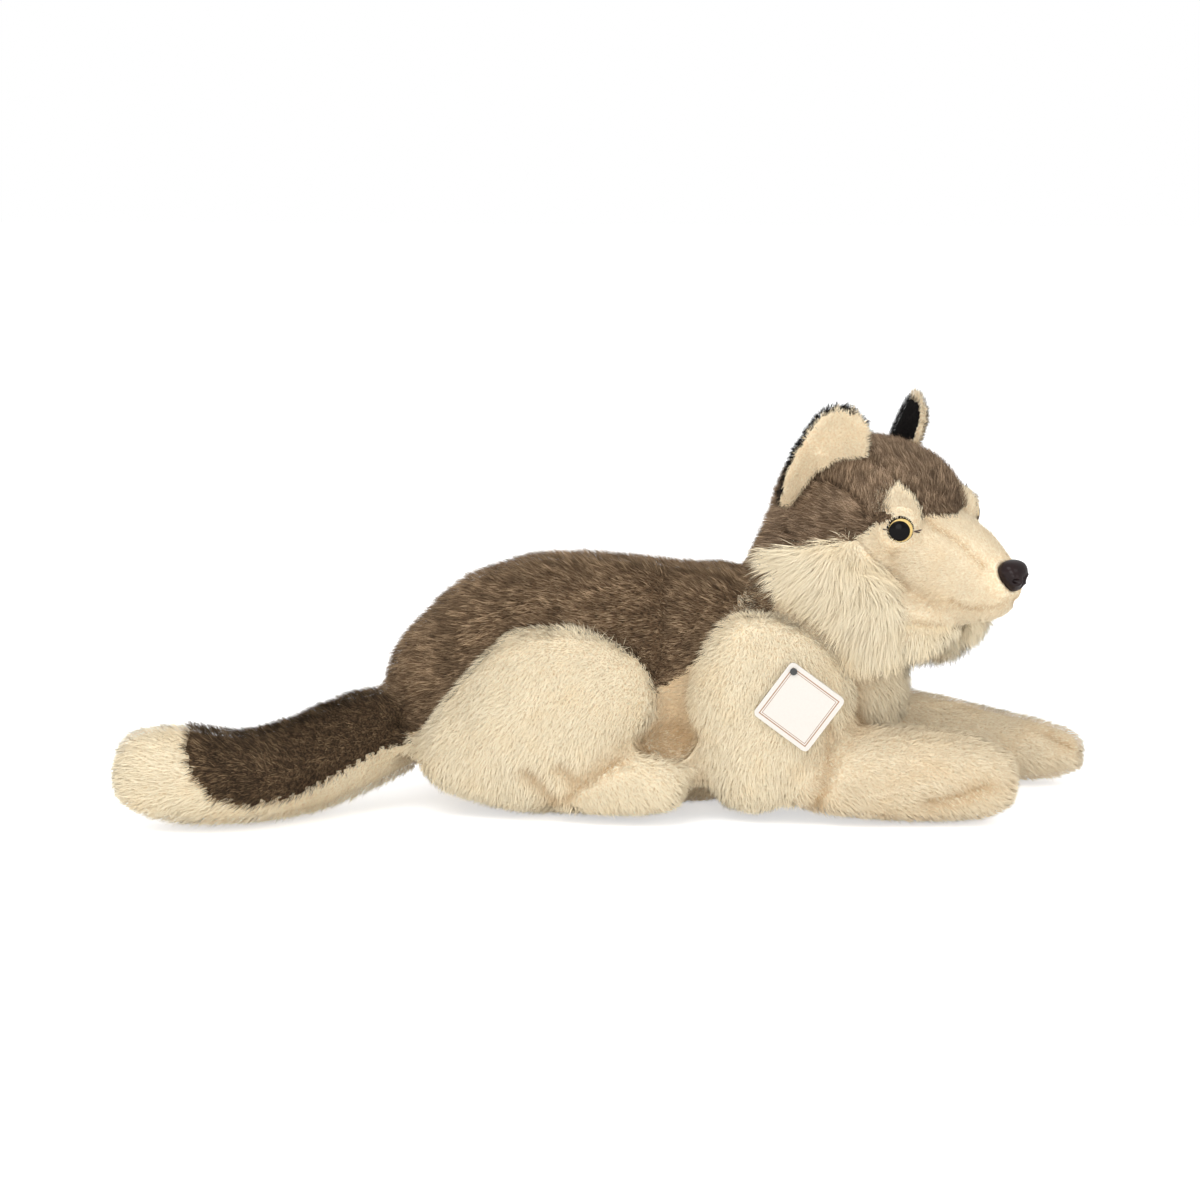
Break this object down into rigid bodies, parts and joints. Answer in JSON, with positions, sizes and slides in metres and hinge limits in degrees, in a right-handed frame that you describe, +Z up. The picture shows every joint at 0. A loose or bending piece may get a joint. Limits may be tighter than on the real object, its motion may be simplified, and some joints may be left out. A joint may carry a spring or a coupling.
{
  "type": "plush wolf",
  "caption": "Stuffed plush wolf lying on its belly with its head up and turned, long curled tail, dark back, cream legs and face, safety eyes, moulded nose and a folded hang tag",
  "frame": {"origin": "on the floor under the middle of the belly, at the belly_rest mount", "axes": "+X toward the front paws, +Y its left side, +Z up"},
  "size_m": [0.6034, 0.2358, 0.2583],
  "materials": {
    "cream_plush": "soft cream pile, 6 to 9 mm long",
    "brown_plush": "dark brown pile with frosted tan tips",
    "black_plush": "short black pile",
    "fibre_fill": "white fibre stuffing",
    "eye_plastic": "clear dome over an amber ring and a black pupil",
    "nose_plastic": "dark brown, softly shiny",
    "washer_plastic": "natural plastic",
    "tag_card": "uncoated white card",
    "pin_plastic": "small dark moulded pin"
  },
  "bodies": {
    "root": {"back_cover": "brown_plush", "belly_cover": "cream_plush", "bridge_cover": "cream_plush", "cheek_ruff_left": "cream_plush", "cheek_ruff_right": "cream_plush", "chest_cover": "cream_plush", "crown_cover": "brown_plush", "ear_back_left": "black_plush", "ear_back_right": "black_plush", "ear_front_left": "cream_plush", "ear_front_right": "cream_plush", "eye_left": "eye_plastic", "eye_right": "eye_plastic", "eye_washer_left": "washer_plastic", "eye_washer_right": "washer_plastic", "face_cover_left": "cream_plush", "face_cover_right": "cream_plush", "flank_cover_left": "cream_plush", "flank_cover_right": "cream_plush", "foreleg_left_cover": "cream_plush", "foreleg_left_stuffing": "fibre_fill", "foreleg_right_cover": "cream_plush", "foreleg_right_stuffing": "fibre_fill", "hang_tag": "tag_card", "haunch_left_cover": "cream_plush", "haunch_left_stuffing": "fibre_fill", "haunch_right_cover": "cream_plush", "haunch_right_stuffing": "fibre_fill", "head_stuffing": "fibre_fill", "hind_foot_left_cover": "cream_plush", "hind_foot_left_stuffing": "fibre_fill", "hind_foot_right_cover": "cream_plush", "hind_foot_right_stuffing": "fibre_fill", "jaw_cover": "cream_plush", "nose": "nose_plastic", "nose_washer": "washer_plastic", "shoulder_left_cover": "cream_plush", "shoulder_left_stuffing": "fibre_fill", "shoulder_right_cover": "cream_plush", "shoulder_right_stuffing": "fibre_fill", "tag_pin": "pin_plastic", "tail_stuffing": "fibre_fill", "tail_top_cover": "brown_plush", "tail_underside_cover": "cream_plush", "trunk_stuffing": "fibre_fill"}
  },
  "joints": []
}
